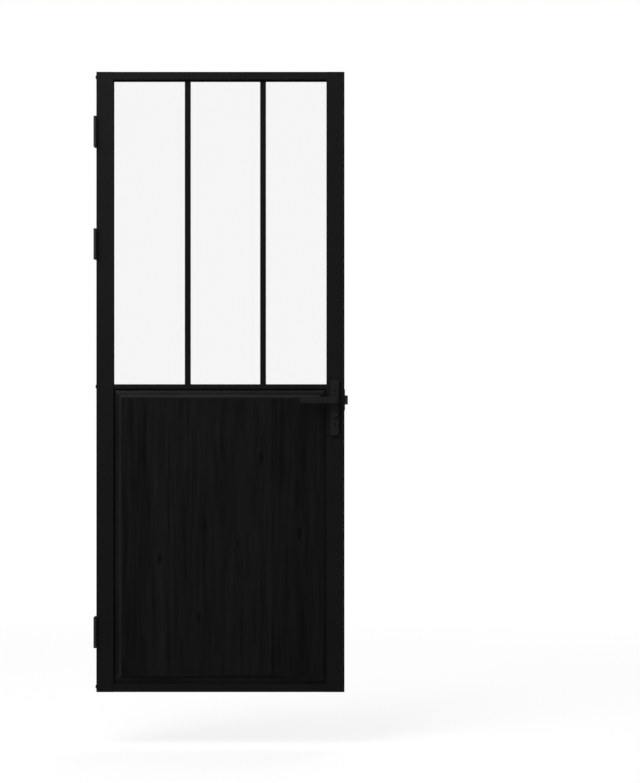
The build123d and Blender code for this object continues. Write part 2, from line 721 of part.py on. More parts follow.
def latch_bolt():
    """Latch with its slope on the back side and a tail with the follower's window."""
    half = LATCH_W / 2
    tip = RIGHT + LATCH_OUT
    rear = RIGHT - LATCH_IN
    outline = [
        (rear, -half),
        (tip - LATCH_CHAMFER, -half),
        (tip, -half + LATCH_CHAMFER),
        (tip, -half + LATCH_NOSE_W),
        (RIGHT + FACEPLATE_T, half),
        (rear, half),
    ]
    face = Plane(origin=(0, 0, LATCH_BOTTOM)) * make_face(Polyline(*outline, close=True))
    head = extrude(face, LATCH_H)
    for z, up in ((LATCH_TOP, 1), (LATCH_BOTTOM, -1)):
        wedge = Plane(origin=(0, -LATCH_W, 0), x_dir=(1, 0, 0), z_dir=(0, 1, 0))
        corner = [
            (tip + CUT, -z - up * CUT),
            (tip - LATCH_CHAMFER - CUT, -z - up * CUT),
            (tip + CUT, -z + up * (LATCH_CHAMFER + CUT)),
        ]
        head -= extrude(wedge * make_face(Polyline(*corner, close=True)), LATCH_W * 2)
    tail = block(RIGHT - LATCH_TAIL_END, rear, -half, half, LATCH_TOP - LATCH_TAIL_H, LATCH_TOP)
    window = LATCH_WINDOW_W / 2
    tail -= block(
        SPINDLE_X + LATCH_WINDOW_NEAR,
        SPINDLE_X + LATCH_WINDOW_FAR,
        -window,
        window,
        LATCH_TOP - LATCH_TAIL_H - CUT,
        LATCH_TOP + CUT,
    )
    return head + tail


def latch_spring():
    """Compression spring between the post in the case and the latch."""
    x0 = RIGHT - SPRING_POST_NEAR + SPRING_END_GAP + SPRING_WIRE_R
    x1 = RIGHT - LATCH_IN - SPRING_END_GAP - SPRING_WIRE_R
    path = Helix(pitch=(x1 - x0) / SPRING_TURNS, height=x1 - x0, radius=SPRING_R)
    profile = Plane(origin=path @ 0, z_dir=path % 0) * Circle(SPRING_WIRE_R)
    coil = sweep(profile, path=path)
    return Pos(x0, 0, SPINDLE_Z - SPRING_DROP) * Rot(0, 90, 0) * coil


def follower_hub():
    """Hub turned by the spindle; its finger draws the latch back."""
    hub = rod_y(SPINDLE_X, -HUB_W / 2, HUB_W / 2, SPINDLE_Z, HUB_R)
    hub += rod_y(SPINDLE_X, -CASE_Y, CASE_Y, SPINDLE_Z, HUB_COLLAR_R)
    half_t, half_w = HUB_FINGER_T / 2, HUB_FINGER_W / 2
    finger = block(-half_w, half_w, -half_t, half_t, HUB_FINGER_ROOT, HUB_FINGER_TIP)
    hub += Pos(SPINDLE_X, 0, SPINDLE_Z) * Rot(0, HUB_FINGER_LEAN, 0) * finger
    half = SPINDLE_SQ / 2
    through = CASE_Y + CUT
    return hub - block(
        SPINDLE_X - half, SPINDLE_X + half, -through, through, SPINDLE_Z - half, SPINDLE_Z + half
    )


def cylinder_body():
    """Key cylinder housing: round through its length, with a fin inside the stile."""
    fin_y = HALF_T - CYL_FIN_GAP
    half = CYL_FIN_W / 2
    body = rod_y(SPINDLE_X, -CYL_HALF, CYL_HALF, CYL_Z, CYL_R)
    body += block(SPINDLE_X - half, SPINDLE_X + half, -fin_y, fin_y, CYL_BOTTOM, CYL_Z)
    slot = CYL_SLOT_W / 2
    bridge_top = CYL_BOTTOM + CYL_BRIDGE_H
    body -= block(SPINDLE_X - CYL_H, SPINDLE_X + CYL_H, -slot, slot, bridge_top, CYL_Z + CYL_H)
    body -= rod_y(SPINDLE_X, -CYL_HALF - CUT, CYL_HALF + CUT, CYL_Z, PLUG_R + PLUG_FIT)
    return body - cylinder_screw_shape(SCREW_GAP)


def front_plug():
    """Plug turned by the key, with its keyway."""
    face = -CYL_HALF - PLUG_PROUD
    plug = rod_y(SPINDLE_X, face, -CAM_W / 2, CYL_Z, PLUG_R)
    half = KEYWAY_W / 2
    keyway = block(
        SPINDLE_X - half,
        SPINDLE_X + half,
        face - CUT,
        face + KEYWAY_DEPTH,
        CYL_Z - KEYWAY_DOWN,
        CYL_Z + KEYWAY_UP,
    )
    return plug - keyway


def cylinder_cam():
    """Cam between the two plugs, hanging down when the key can be drawn."""
    half_w, half_arm = CAM_W / 2, CAM_ARM_W / 2
    cam = rod_y(SPINDLE_X, -half_w, half_w, CYL_Z, PLUG_R)
    arm = block(SPINDLE_X - half_arm, SPINDLE_X + half_arm, -half_w, half_w, CYL_Z - CAM_REACH, CYL_Z)
    return cam + arm


def cylinder_screw_shape(gap):
    """Fixing screw of the cylinder, from the lock edge into the bridge of the housing."""
    z = CYL_BOTTOM + CYL_SCREW_RISE
    neck = RIGHT - CYL_SINK_DEPTH
    screw = rod_x(neck, RIGHT, 0, z, CYL_SCREW_R + gap, CYL_SINK_R + gap)
    return screw + rod_x(SPINDLE_X - CYL_SCREW_PAST - gap, neck, 0, z, CYL_SCREW_R + gap)


def cylinder_screw():
    """Fixing screw with a cross slot."""
    z = CYL_BOTTOM + CYL_SCREW_RISE
    slot_x = RIGHT - DRIVE_SLOT_DEPTH
    half_w, half_l = DRIVE_SLOT_W / 2, DRIVE_SLOT_L / 2
    screw = cylinder_screw_shape(0)
    screw -= block(slot_x, RIGHT + CUT, -half_w, half_w, z - half_l, z + half_l)
    return screw - block(slot_x, RIGHT + CUT, -half_l, half_l, z - half_w, z + half_w)


def handle_plate():
    """Front handle plate with arched ends, bored for the bush and the cylinder."""
    x0, x1 = SPINDLE_X - PLATE_W / 2, SPINDLE_X + PLATE_W / 2
    low, high = PLATE_BOTTOM + PLATE_END_RISE, PLATE_TOP - PLATE_END_RISE
    outline = Curve() + [
        Line((x0, low), (x0, high)),
        ThreePointArc((x0, high), (SPINDLE_X, PLATE_TOP), (x1, high)),
        Line((x1, high), (x1, low)),
        ThreePointArc((x1, low), (SPINDLE_X, PLATE_BOTTOM), (x0, low)),
    ]
    seat = Plane(origin=(0, -HALF_T, 0), x_dir=(1, 0, 0), z_dir=(0, -1, 0))
    plate = extrude(seat * make_face(outline), PLATE_T)
    plate = fillet(plate.edges().filter_by(Axis.Y), PLATE_CORNER_R)
    plate = fillet(plate.faces().sort_by(Axis.Y)[0].edges(), PLATE_EDGE_R)
    y0, y1 = -PLATE_FACE - CUT, -HALF_T + CUT
    plate -= rod_y(SPINDLE_X, y0, y1, SPINDLE_Z, BUSH_R + BUSH_FIT)
    plate -= rod_y(SPINDLE_X, y0, y1, CYL_Z, CYL_R + CYL_PLATE_GAP)
    return plate


def bolt_sink(z, gap):
    """Countersunk head of a through-bolt in the front plate."""
    neck = -PLATE_FACE + BOLT_SINK_DEPTH
    return rod_y(SPINDLE_X, -PLATE_FACE, neck, z, BOLT_HEAD_R + gap, BOLT_R + gap)


def sleeve_sink(z, gap):
    """Countersunk head of a bolt sleeve in the back plate."""
    neck = PLATE_FACE - BOLT_SINK_DEPTH
    head = BOLT_HEAD_R + SLEEVE_R - BOLT_R
    return rod_y(SPINDLE_X, neck, PLATE_FACE, z, SLEEVE_R + gap, head + gap)


def front_plate():
    """Front plate with countersunk bolt holes."""
    plate = handle_plate()
    for z in BOLT_Z:
        plate -= rod_y(SPINDLE_X, -PLATE_FACE - CUT, -HALF_T + CUT, z, BOLT_R + SCREW_GAP)
        plate -= bolt_sink(z, SCREW_GAP)
    return plate


def back_plate():
    """Back plate with countersunk sleeve holes."""
    plate = mirrored(handle_plate())
    for z in BOLT_Z:
        plate -= rod_y(SPINDLE_X, HALF_T - CUT, PLATE_FACE + CUT, z, SLEEVE_R + SCREW_GAP)
        plate -= sleeve_sink(z, SCREW_GAP)
    return plate


def plate_bolts():
    """Through-bolts that draw the two plates together."""
    bolts = []
    for z in BOLT_Z:
        neck = -PLATE_FACE + BOLT_SINK_DEPTH
        bolt = bolt_sink(z, 0) + rod_y(SPINDLE_X, neck, -PLATE_FACE + BOLT_LEN, z, BOLT_R)
        floor = -PLATE_FACE + BOLT_SOCKET_DEPTH
        bolts.append(bolt - hex_y(SPINDLE_X, -PLATE_FACE - CUT, floor, z, BOLT_SOCKET_R))
    return group(bolts)


def plate_sleeves():
    """Threaded sleeves in the back plate that take the bolts."""
    sleeves = []
    for z in BOLT_Z:
        neck = PLATE_FACE - BOLT_SINK_DEPTH
        start = PLATE_FACE - SLEEVE_LEN
        sleeve = sleeve_sink(z, 0) + rod_y(SPINDLE_X, start, neck, z, SLEEVE_R)
        sleeve -= rod_y(SPINDLE_X, start - CUT, PLATE_FACE - SLEEVE_FLOOR, z, BOLT_R + SCREW_GAP)
        sleeves.append(sleeve)
    return group(sleeves)


def lever_bush():
    """Plain bearing of the lever in the front plate."""
    y0, y1 = -PLATE_FACE, -PLATE_FACE + BUSH_LEN
    ring = rod_y(SPINDLE_X, y0, y1, SPINDLE_Z, BUSH_R)
    return ring - rod_y(SPINDLE_X, y0 - CUT, y1 + CUT, SPINDLE_Z, NECK_R + NECK_FIT)


def grub_y():
    """Depth of the grub screw along the lever's neck."""
    return -PLATE_FACE - GRUB_OUT


def front_lever():
    """Flat lever bar on a round neck, bored square for the spindle."""
    back = -HALF_T - LEVER_GAP
    face = back - LEVER_T
    half = LEVER_H / 2
    x0, x1 = SPINDLE_X - LEVER_L, SPINDLE_X + LEVER_PAST
    bar = block(x0, x1, face, back, SPINDLE_Z - half, SPINDLE_Z + half)
    uprights = bar.edges().filter_by(Axis.Y)
    tip = uprights.sort_by(Axis.X)[:2].sort_by(Axis.Z)
    bar = fillet(tip[0], LEVER_TIP_R)
    tip_top = bar.edges().filter_by(Axis.Y).group_by(Axis.Z)[-1].sort_by(Axis.X)[0]
    bar = fillet(tip_top, LEVER_EDGE_R)
    heel = bar.edges().filter_by(Axis.Y).group_by(Axis.X)[-1]
    bar = fillet(heel, LEVER_HEEL_R)
    bar = fillet(bar.faces().sort_by(Axis.Y)[0].edges(), LEVER_EDGE_R)
    neck_end = -PLATE_FACE + BUSH_LEN - NECK_SEAT
    lever = bar + rod_y(SPINDLE_X, back, neck_end, SPINDLE_Z, NECK_R)
    rounds = lever.edges().filter_by(GeomType.CIRCLE).filter_by_position(Axis.Y, back - CUT, back + CUT)
    lever = fillet(rounds.sort_by(SortBy.RADIUS)[-1], LEVER_ELBOW_R)
    hole = SPINDLE_SQ / 2
    depth = -SPINDLE_LEN / 2 - SPINDLE_GAP
    lever -= block(
        SPINDLE_X - hole, SPINDLE_X + hole, depth, neck_end + CUT, SPINDLE_Z - hole, SPINDLE_Z + hole
    )
    return lever - rod_z(SPINDLE_X, grub_y(), SPINDLE_Z - NECK_R - CUT, SPINDLE_Z - hole, GRUB_R + GRUB_GAP)


def spindle():
    """Square bar through both levers and the hub."""
    half = SPINDLE_SQ / 2 - SPINDLE_GAP
    half_l = SPINDLE_LEN / 2
    return block(SPINDLE_X - half, SPINDLE_X + half, -half_l, half_l, SPINDLE_Z - half, SPINDLE_Z + half)


def grub_screws():
    """Screws that hold the levers on the spindle."""
    top = SPINDLE_Z - SPINDLE_SQ / 2
    front = rod_z(SPINDLE_X, grub_y(), top - GRUB_LEN, top, GRUB_R)
    return group([front, mirrored(front)])


NODES = {
    "hinge_stile": hinge_stile,
    "lock_stile": lock_stile,
    "top_rail": lambda: end_rail(TOP_RAIL_Z, LEAF_H, True),
    "bottom_rail": lambda: end_rail(0, END_RAIL_H, False),
    "mid_rail": mid_rail,
    "glazing_bars": lambda: group([glazing_bar(x) for x in bar_positions()]),
    "pane_hinge_side": lambda: pane(*pane_openings()[0]),
    "pane_middle": lambda: pane(*pane_openings()[1]),
    "pane_lock_side": lambda: pane(*pane_openings()[2]),
    "gasket_hinge_side": lambda: gasket(*pane_openings()[0]),
    "gasket_middle": lambda: gasket(*pane_openings()[1]),
    "gasket_lock_side": lambda: gasket(*pane_openings()[2]),
    "raised_panel": raised_panel,
    "hinge_stile_caps": lambda: end_caps(LEFT, STILE_L_IN),
    "lock_stile_caps": lambda: end_caps(RIGHT, STILE_R_IN),
    "button_screws": button_screws,
    "sunk_screws": sunk_screws,
    "hinge_jamb_leaves": lambda: group([hinge_leaf(z, -1, 0) for z in HINGE_CENTRES]),
    "hinge_door_leaves": lambda: group([hinge_leaf(z, 1, 1) for z in HINGE_CENTRES]),
    "hinge_pins": lambda: group([hinge_pin(z) for z in HINGE_CENTRES]),
    "hinge_screws": hinge_screws,
    "lock_case": lock_case,
    "lock_cover": lock_cover,
    "case_rivets": case_rivets,
    "latch_faceplate": latch_faceplate,
    "faceplate_screws": faceplate_screws,
    "latch_bolt": latch_bolt,
    "latch_spring": latch_spring,
    "follower_hub": follower_hub,
    "cylinder_body": cylinder_body,
    "plug_front": front_plug,
    "plug_back": lambda: mirrored(front_plug()),
    "cylinder_cam": cylinder_cam,
    "cylinder_screw": cylinder_screw,
    "front_plate": front_plate,
    "back_plate": back_plate,
    "plate_bolts": plate_bolts,
    "plate_sleeves": plate_sleeves,
    "lever_bushes": lambda: group([lever_bush(), mirrored(lever_bush())]),
    "front_lever": front_lever,
    "back_lever": lambda: mirrored(front_lever()),
    "spindle": spindle,
    "grub_screws": grub_screws,
}

os.makedirs("parts", exist_ok=True)
for name, make in NODES.items():
    export_step(make(), os.path.join("parts", name + ".step"))
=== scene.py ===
"""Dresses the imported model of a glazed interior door: finishes, eased edges and a studio."""
import json
import math

import bmesh
import bpy
from bpy.props import FloatProperty, FloatVectorProperty, IntProperty, PointerProperty
from bpy.types import Operator, Panel, PropertyGroup
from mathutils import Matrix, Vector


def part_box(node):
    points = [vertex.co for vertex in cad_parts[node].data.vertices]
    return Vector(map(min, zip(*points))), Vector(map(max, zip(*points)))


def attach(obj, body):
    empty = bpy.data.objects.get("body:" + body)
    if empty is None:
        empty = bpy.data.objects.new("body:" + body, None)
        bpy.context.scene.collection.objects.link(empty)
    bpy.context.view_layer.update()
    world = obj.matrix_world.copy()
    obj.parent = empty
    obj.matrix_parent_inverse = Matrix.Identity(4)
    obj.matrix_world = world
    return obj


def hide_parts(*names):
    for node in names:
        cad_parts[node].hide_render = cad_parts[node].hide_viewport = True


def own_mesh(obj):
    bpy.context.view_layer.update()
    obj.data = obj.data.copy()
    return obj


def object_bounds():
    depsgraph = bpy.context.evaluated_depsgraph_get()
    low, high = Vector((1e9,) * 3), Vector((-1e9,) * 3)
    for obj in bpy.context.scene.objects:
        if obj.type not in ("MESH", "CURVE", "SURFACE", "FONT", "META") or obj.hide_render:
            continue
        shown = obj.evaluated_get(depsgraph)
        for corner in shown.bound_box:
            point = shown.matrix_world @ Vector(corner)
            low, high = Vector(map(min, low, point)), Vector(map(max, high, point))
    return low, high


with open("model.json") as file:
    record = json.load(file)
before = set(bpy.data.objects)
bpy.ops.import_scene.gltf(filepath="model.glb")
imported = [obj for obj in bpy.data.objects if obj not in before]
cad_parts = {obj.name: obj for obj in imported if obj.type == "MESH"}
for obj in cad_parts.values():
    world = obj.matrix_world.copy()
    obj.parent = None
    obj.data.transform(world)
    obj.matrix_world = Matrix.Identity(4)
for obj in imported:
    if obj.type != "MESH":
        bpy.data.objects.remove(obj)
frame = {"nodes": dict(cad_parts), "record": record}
CAD_LOW, CAD_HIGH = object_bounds()
NODES = frame["nodes"]
BEHAVIOUR = frame["record"]["behaviour"]
BODY_OF = {node: body for body, names in BEHAVIOUR["bodies"].items() for node in names}

bl_info = {
    "name": "Glazed interior door",
    "version": (1, 0, 0),
    "blender": (4, 5, 0),
    "location": "View3D > Sidebar > Door",
    "description": "Finishes, eased edges and a studio for a packed glazed door",
    "category": "Object",
}

FRAME_NODES = ("hinge_stile", "lock_stile", "top_rail", "bottom_rail", "mid_rail")
PANE_NODES = ("pane_hinge_side", "pane_middle", "pane_lock_side")
GASKET_NODES = ("gasket_hinge_side", "gasket_middle", "gasket_lock_side")
CAP_NODES = ("hinge_stile_caps", "lock_stile_caps")
HINGE_LEAF_NODES = ("hinge_jamb_leaves", "hinge_door_leaves")
SCREW_NODES = (
    "button_screws",
    "sunk_screws",
    "hinge_screws",
    "faceplate_screws",
    "plate_bolts",
    "plate_sleeves",
    "cylinder_screw",
    "grub_screws",
)
LOCK_NODES = ("lock_case", "lock_cover", "case_rivets", "follower_hub", "spindle", "cylinder_cam")
HANDLE_NODES = ("front_lever", "back_lever", "front_plate", "back_plate")
CYLINDER_NODES = ("cylinder_body", "plug_front", "plug_back")

# Photograph frame, in pixels, and the leaf's place and scale in it
PHOTO_W = 640
PHOTO_H = 783
LEAF_CENTRE_PX = (220.4, 381.97)
MM_PER_PX = 3.2755

# Camera: longer side of its sensor, and the farthest thing that it draws, in metres
SENSOR_MM = 36.0
CLIP_END = 200.0

# Lamps: their places in metres
KEY_PLACE = (-4.20, -6.70, 5.20)
TOP_PLACE = (-1.20, -2.00, 3.30)
REAR_PLACE = (1.50, 4.00, 5.50)

# Floor: its colour, its share of plain white near the door, how bright that white is, and the distances
# in metres over which it turns all white
FLOOR_HEX = "#f0f0f0"
FLOOR_GLOW = 0.70
FLOOR_WHITE = 1.03
FLOOR_FADE = (2.5, 6.0)

# Room: the way to the bright backdrop that surfaces mirror and the cosines over which it comes up, then
# the heights over which the room's light comes up, its strength below them, and its strength in mirrors
WHITE = (1.0, 1.0, 1.0, 1.0)
BACKDROP_WAY = (-0.66, 0.0, 0.75)
BACKDROP_FADE = (0.20, 0.95)
ROOM_FADE = (-0.9, -0.3)
ROOM_BELOW = 0.05
ROOM_MIRRORED = 0.012

# Eased copies: distance within which points are one, in metres, and the angles between two faces up to
# which they are one face, from which their edge is eased, and from which it shows as a crease
MERGE_DISTANCE = 1e-6
FLAT_ANGLE = math.radians(0.3)
SHARP_ANGLE = math.radians(28)
PANEL_SHARP_ANGLE = math.radians(10)
CREASE_ANGLE = math.radians(20)

# Sockets of the Mix node when it mixes vectors or colours
MIX_FACTOR = 0
MIX_A_VECTOR, MIX_B_VECTOR, MIX_VECTOR = 4, 5, 1
MIX_A, MIX_B, MIX_COLOUR = 6, 7, 2

# Patterns of coat, rubber and plastic: their sizes as drawn, in millimetres
PEEL_MM = 2.4
DRIFT_MM = 140
DIE_LINE_MM = 1.5
MOULD_GRAIN_MM = 1.2

# Patterns of glass and zinc: their sizes as drawn along X, Y and Z
ROLLER_WAVE_MM = (900, 900, 280)
DRAWN_LINE_MM = (24, 1.2, 1.2)

# Figure of the wood: its sizes as drawn across the grain, through the board and along the grain
BAND_MM = (52, 400, 1500)
STREAK_MM = (11, 60, 260)
FIBRE_MM = (3, 12, 85)

# Boards glued into the panel: X of the left edge in metres, and how far each is lighter or darker than
# the rest, the last one as painted light; then the shift of the grain from one board to the next, in metres
BOARDS = (
    (-0.400, -1.0),
    (-0.241, 1.0),
    (-0.152, 0.0),
    (0.011, 0.5),
    (0.142, 0.9),
    (0.167, -1.0),
    (0.221, 0.0),
    (0.243, -1.0),
    (0.297, 0.2),
    # Painted fill light: the right-hand moulding, whose slopes face away from the lamps, is made lighter
    (0.318, 1.2),
)
BOARD_GRAIN_SHIFT = 0.37

# Mouldings along the head and foot of the panel: the field between them in Z, and the foot's painted light
FIELD_MID = 0.508
FIELD_HALF = 0.453
# Painted fill light: the foot moulding, whose slopes face down away from the lamps, is made this much
# lighter
FOOT_PAINTED_FILL = 1.2

# Knots of the panel: X and Z in metres, and how far each one bends the grain
KNOTS = (
    (-0.051, 0.545, 0.030),
    (0.058, 0.486, 0.022),
    (0.259, 0.519, 0.034),
    (-0.199, 0.437, 0.036),
    (-0.071, 0.244, 0.030),
    (0.134, 0.768, 0.034),
)
# Width of a knot's reach over its height, how strongly the grain bends at its middle, and the shares of
# the reach where its dark heart begins and is full
KNOT_ASPECT = 0.38
KNOT_PULL = 0.8
KNOT_HEART = (0.26, 0.08)

# Weights of bands and fibres beside the streaks, the range of their sum from dark to light, and the weights
# of a knot's heart and of a board's shade, with the painted fill light on the mouldings, in the stain
BAND_WEIGHT = 0.30
FIBRE_WEIGHT = 0.35
FIGURE_RANGE = (0.54, 1.10)
HEART_WEIGHT = -0.8
BOARD_WEIGHT = 0.12

# What all settings of a kind have in common
COLOUR = {"size": 4, "min": 0.0, "max": 1.0, "subtype": "COLOR"}
ARRIS = {"min": 0.0, "unit": "LENGTH"}
LAMP_POWER = {"min": 0.0, "unit": "POWER"}
LAMP_SIZE = {"min": 0.05, "unit": "LENGTH"}


def linear(hex_code):
    """Linear RGBA of an sRGB hex colour."""
    values = [int(hex_code[i : i + 2], 16) / 255 for i in (1, 3, 5)]
    return tuple(v / 12.92 if v <= 0.04045 else ((v + 0.055) / 1.055) ** 2.4 for v in values) + (1.0,)


def toned(colour, share):
    """A colour made lighter or darker by this share."""
    return tuple(share * channel for channel in colour[:3]) + (1.0,)


def per_mm(size):
    """Texture scale at which one feature spans this many millimetres."""
    return 1000.0 / size


def add(tree, kind, settings=None, values=None, links=None):
    """Adds a node: settings are its options, values its plain sockets and links its fed sockets. A node
    given as a link stands for its first output."""
    node = tree.nodes.new(kind)
    for option, choice in (settings or {}).items():
        setattr(node, option, choice)
    for socket, value in (values or {}).items():
        node.inputs[socket].default_value = value
    for socket, source in (links or {}).items():
        output = source.outputs[0] if isinstance(source, bpy.types.Node) else source
        tree.links.new(output, node.inputs[socket])
    return node


def blank_material(name):
    """A material with an empty node tree, that tree, and the place on the piece that its patterns read."""
    material = bpy.data.materials.new(name)
    material.use_nodes = True
    tree = material.node_tree
    tree.nodes.clear()
    return material, tree, add(tree, "ShaderNodeTexCoord").outputs["Object"]


def seen_by_camera(tree):
    """Node that is 1 for a ray from the camera, also behind a pane, and 0 once a surface has turned it."""
    ray = add(tree, "ShaderNodeLightPath").outputs
    turns = add(
        tree, "ShaderNodeMath", {"operation": "ADD"}, links={0: ray["Diffuse Depth"], 1: ray["Glossy Depth"]}
    )
    straight = add(tree, "ShaderNodeMath", {"operation": "LESS_THAN"}, {1: 0.5}, {0: turns})
    direct = add(
        tree,
        "ShaderNodeMath",
        {"operation": "ADD", "use_clamp": True},
        links={0: ray["Is Camera Ray"], 1: ray["Is Transmission Ray"]},
    )
    return add(tree, "ShaderNodeMath", {"operation": "MULTIPLY"}, links={0: straight, 1: direct})


def powder_coated_aluminium(name, colour):
    """Extruded aluminium under a baked black powder coat: even and satin, with a fine peel that breaks up
    the light and slow drifts of tone along a bar. The peel is about 0.8 mm on the real coat and is drawn
    three times as coarse so that it shows."""
    material, tree, place = blank_material(name)
    peel = add(
        tree,
        "ShaderNodeTexNoise",
        values={"Scale": per_mm(PEEL_MM), "Detail": 3.0},
        links={"Vector": place},
    )
    drift = add(
        tree,
        "ShaderNodeTexNoise",
        values={"Scale": per_mm(DRIFT_MM), "Detail": 2.0},
        links={"Vector": place},
    )
    tone = add(
        tree,
        "ShaderNodeMix",
        {"data_type": "RGBA"},
        {MIX_A: toned(colour, 0.86), MIX_B: toned(colour, 1.14)},
        {MIX_FACTOR: drift},
    )
    gloss = add(tree, "ShaderNodeMapRange", values={"To Min": 0.40, "To Max": 0.52}, links={"Value": peel})
    bump = add(tree, "ShaderNodeBump", values={"Strength": 0.10, "Distance": 0.0003}, links={"Height": peel})
    shader = add(
        tree,
        "ShaderNodeBsdfPrincipled",
        values={"IOR": 1.5, "Specular IOR Level": 0.15},
        links={"Base Color": tone.outputs[MIX_COLOUR], "Roughness": gloss, "Normal": bump},
    )
    add(tree, "ShaderNodeOutputMaterial", links={"Surface": shader})
    return material


def lay_boards(tree, across, along):
    """Shade of the board at a place on the panel, and the place along its grain, which is shifted from
    board to board so that no streak runs on over a joint. The last board's shade is painted fill light on
    the right-hand moulding."""
    shade = None
    for (edge, tint), (_, before) in zip(BOARDS, ((0.0, 0.0), *BOARDS)):
        past = add(tree, "ShaderNodeMath", {"operation": "GREATER_THAN"}, {1: edge}, {0: across})
        along = add(
            tree,
            "ShaderNodeMath",
            {"operation": "MULTIPLY_ADD"},
            {1: BOARD_GRAIN_SHIFT},
            {0: past, 2: along},
        )
        step = add(tree, "ShaderNodeMath", {"operation": "MULTIPLY"}, {1: tint - before}, {0: past})
        if shade is not None:
            step = add(tree, "ShaderNodeMath", {"operation": "ADD"}, links={0: shade, 1: step})
        shade = step
    return shade, along


def bend_round_knots(tree, place, across):
    """Place across the grain once it has bent round the knots, and how much of a knot's heart is there."""
    heart = None
    for knot_x, knot_z, reach in KNOTS:
        offset = add(
            tree, "ShaderNodeVectorMath", {"operation": "SUBTRACT"}, {1: (knot_x, 0.0, knot_z)}, {0: place}
        )
        oval = add(
            tree,
            "ShaderNodeVectorMath",
            {"operation": "MULTIPLY"},
            {1: (1.0, 0.0, KNOT_ASPECT)},
            {0: offset},
        )
        away = add(tree, "ShaderNodeVectorMath", {"operation": "LENGTH"}, links={0: oval}).outputs["Value"]
        pull = add(
            tree,
            "ShaderNodeMapRange",
            {"interpolation_type": "SMOOTHSTEP"},
            {"From Min": reach, "From Max": 0.0, "To Max": KNOT_PULL},
            {"Value": away},
        )
        sideways = add(tree, "ShaderNodeSeparateXYZ", links={"Vector": offset}).outputs["X"]
        bend = add(tree, "ShaderNodeMath", {"operation": "MULTIPLY"}, links={0: sideways, 1: pull})
        across = add(tree, "ShaderNodeMath", {"operation": "SUBTRACT"}, links={0: across, 1: bend})
        core = add(
            tree,
            "ShaderNodeMapRange",
            {"interpolation_type": "SMOOTHSTEP"},
            {"From Min": KNOT_HEART[0] * reach, "From Max": KNOT_HEART[1] * reach},
            {"Value": away},
        )
        if heart is not None:
            core = add(tree, "ShaderNodeMath", {"operation": "MAXIMUM"}, links={0: heart, 1: core})
        heart = core
    return across, heart


def black_stained_softwood(dark, light):
    """Softwood boards stained black: the grain shows as faint bands, streaks and fibres that bend round a
    few darker knots. It stands upright in the field and lies lengthwise in the head and foot mouldings.
    Fibres are under 1 mm wide on the real board and are drawn at 3 mm so that they show. The foot and the
    right-hand mouldings are painted lighter: painted fill light on slopes that face away from the lamps."""
    material, tree, place = blank_material("black_stained_softwood")
    axes = add(tree, "ShaderNodeSeparateXYZ", links={"Vector": place}).outputs
    x, y, z = axes["X"], axes["Y"], axes["Z"]
    field = add(tree, "ShaderNodeMath", {"operation": "COMPARE"}, {1: FIELD_MID, 2: FIELD_HALF}, {0: z})
    foot = add(tree, "ShaderNodeMath", {"operation": "LESS_THAN"}, {1: FIELD_MID - FIELD_HALF}, {0: z})
    # Board shades, the last of them painted fill light on the right-hand moulding
    boards_and_painted_fill, along = lay_boards(tree, x, z)
    field_shade = add(tree, "ShaderNodeMath", {"operation": "MULTIPLY"}, links={0: boards_and_painted_fill, 1: field})
    # Painted fill light: the foot moulding is made lighter than the rest
    shade = add(
        tree, "ShaderNodeMath", {"operation": "MULTIPLY_ADD"}, {1: FOOT_PAINTED_FILL}, {0: foot, 2: field_shade}
    )
    across, heart = bend_round_knots(tree, place, x)
    upright = add(tree, "ShaderNodeCombineXYZ", links={"X": across, "Y": y, "Z": along})
    lengthwise = add(tree, "ShaderNodeCombineXYZ", links={"X": z, "Y": y, "Z": x})
    grain = add(
        tree,
        "ShaderNodeMix",
        {"data_type": "VECTOR"},
        links={MIX_FACTOR: field, MIX_A_VECTOR: lengthwise, MIX_B_VECTOR: upright},
    )
    layers = []
    for sizes, fineness in (
        (BAND_MM, {"Detail": 2.0, "Roughness": 0.55}),
        (STREAK_MM, {"Detail": 3.0, "Roughness": 0.6, "Distortion": 0.4}),
        (FIBRE_MM, {"Detail": 2.0}),
    ):
        stretch = add(
            tree,
            "ShaderNodeMapping",
            values={"Scale": [per_mm(size) for size in sizes]},
            links={"Vector": grain.outputs[MIX_VECTOR]},
        )
        layers.append(
            add(tree, "ShaderNodeTexNoise", values={"Scale": 1.0, **fineness}, links={"Vector": stretch})
        )
    bands, streaks, fibres = layers
    coarse = add(
        tree, "ShaderNodeMath", {"operation": "MULTIPLY_ADD"}, {1: BAND_WEIGHT}, {0: bands, 2: streaks}
    )
    figure = add(
        tree, "ShaderNodeMath", {"operation": "MULTIPLY_ADD"}, {1: FIBRE_WEIGHT}, {0: fibres, 2: coarse}
    )
    clear = add(
        tree,
        "ShaderNodeMapRange",
        values={"From Min": FIGURE_RANGE[0], "From Max": FIGURE_RANGE[1]},
        links={"Value": figure},
    )
    knotted = add(
        tree, "ShaderNodeMath", {"operation": "MULTIPLY_ADD"}, {1: HEART_WEIGHT}, {0: heart, 2: clear}
    )
    # The stain carries the painted fill light of the foot and right-hand mouldings
    stain_and_painted_fill = add(
        tree, "ShaderNodeMath", {"operation": "MULTIPLY_ADD"}, {1: BOARD_WEIGHT}, {0: shade, 2: knotted}
    )
    tone = add(
        tree,
        "ShaderNodeMix",
        {"data_type": "RGBA", "clamp_factor": True},
        {MIX_A: dark, MIX_B: light},
        {MIX_FACTOR: stain_and_painted_fill},
    )
    gloss = add(tree, "ShaderNodeMapRange", values={"To Min": 0.28, "To Max": 0.40}, links={"Value": fibres})
    bump = add(
        tree, "ShaderNodeBump", values={"Strength": 0.18, "Distance": 0.0004}, links={"Height": figure}
    )
    shader = add(
        tree,
        "ShaderNodeBsdfPrincipled",
        values={"IOR": 1.5, "Specular IOR Level": 0.35},
        links={"Base Color": tone.outputs[MIX_COLOUR], "Roughness": gloss, "Normal": bump},
    )
    add(tree, "ShaderNodeOutputMaterial", links={"Surface": shader})
    return material


